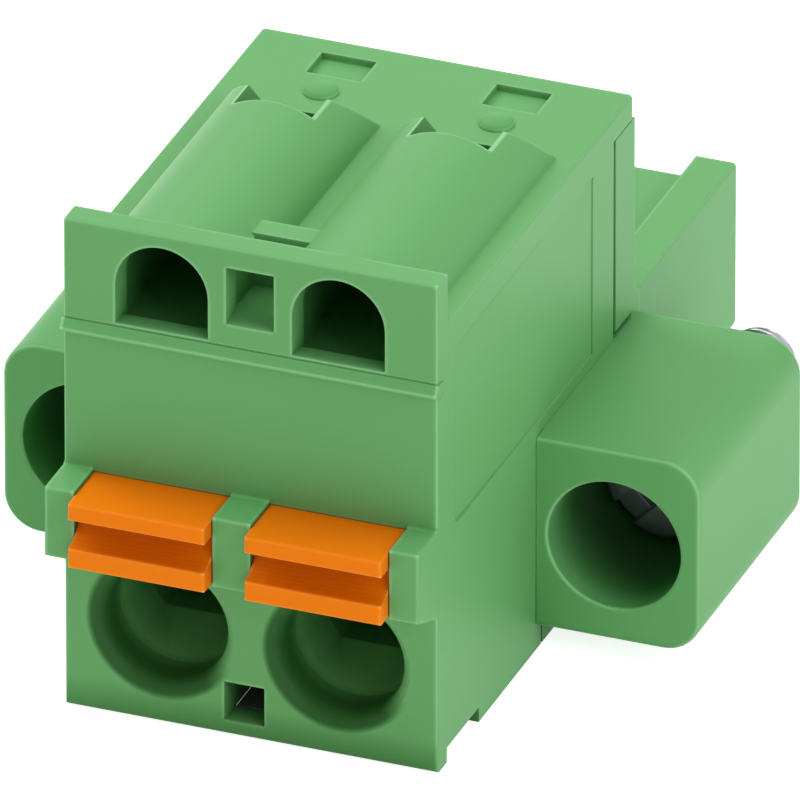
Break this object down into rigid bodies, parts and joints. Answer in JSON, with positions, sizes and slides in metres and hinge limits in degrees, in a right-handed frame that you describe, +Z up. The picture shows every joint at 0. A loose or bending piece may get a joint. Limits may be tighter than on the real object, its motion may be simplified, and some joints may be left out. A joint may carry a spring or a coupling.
{
  "type": "pluggable terminal block",
  "caption": "Green pluggable terminal block with round conductor entries, orange push levers, half-barrel bulges on top, screw flanges at the sides and a mating tongue at the rear.",
  "frame": {"origin": "middle of the footprint's bounding box, at the height of the base that the block stands on", "axes": "+X across the poles, to the right when the conductor entries face the viewer; +Y from the conductor side to the mating side; +Z up, towards the half-barrel bulges"},
  "size_m": [0.0304, 0.0372, 0.0224],
  "materials": {
    "green_polyamide": "moulded, soft satin",
    "orange_polyamide": "moulded, soft satin",
    "black_insert": "moulded, matte",
    "spring_steel": "bright stainless strip",
    "tinned_copper": "tin plated, satin",
    "zinc_steel": "zinc plated"
  },
  "bodies": {
    "housing": {"front_housing": "green_polyamide", "rear_housing": "green_polyamide", "pocket_insert": "black_insert", "clamp_spring_left": "spring_steel", "clamp_spring_right": "spring_steel", "current_bar_left": "tinned_copper", "current_bar_right": "tinned_copper", "socket_contact_left": "tinned_copper", "socket_contact_right": "tinned_copper", "over_spring_left": "spring_steel", "over_spring_right": "spring_steel"},
    "left_lever": {"lever_left": "orange_polyamide"},
    "right_lever": {"lever_right": "orange_polyamide"},
    "left_screw": {"flange_screw_left": "zinc_steel"},
    "right_screw": {"flange_screw_right": "zinc_steel"}
  },
  "joints": [
    {"name": "lever_left_push", "type": "slide", "parent": "housing", "child": "left_lever", "axis": [0, 1, 0], "range_m": [0, 0.0018], "stiffness_N_per_m": 8000, "springref_m": -0.001, "deforming": ["clamp_spring_left"]},
    {"name": "lever_right_push", "type": "slide", "parent": "housing", "child": "right_lever", "axis": [0, 1, 0], "range_m": [0, 0.0018], "stiffness_N_per_m": 8000, "springref_m": -0.001, "deforming": ["clamp_spring_right"]},
    {"name": "flange_screw_left_turn", "type": "hinge", "parent": "housing", "child": "left_screw", "pos_m": [-0.01143, 0.0035, 0.00549], "axis": [0, 1, 0], "continuous": true},
    {"name": "flange_screw_right_turn", "type": "hinge", "parent": "housing", "child": "right_screw", "pos_m": [0.01143, 0.0035, 0.00549], "axis": [0, 1, 0], "continuous": true}
  ]
}
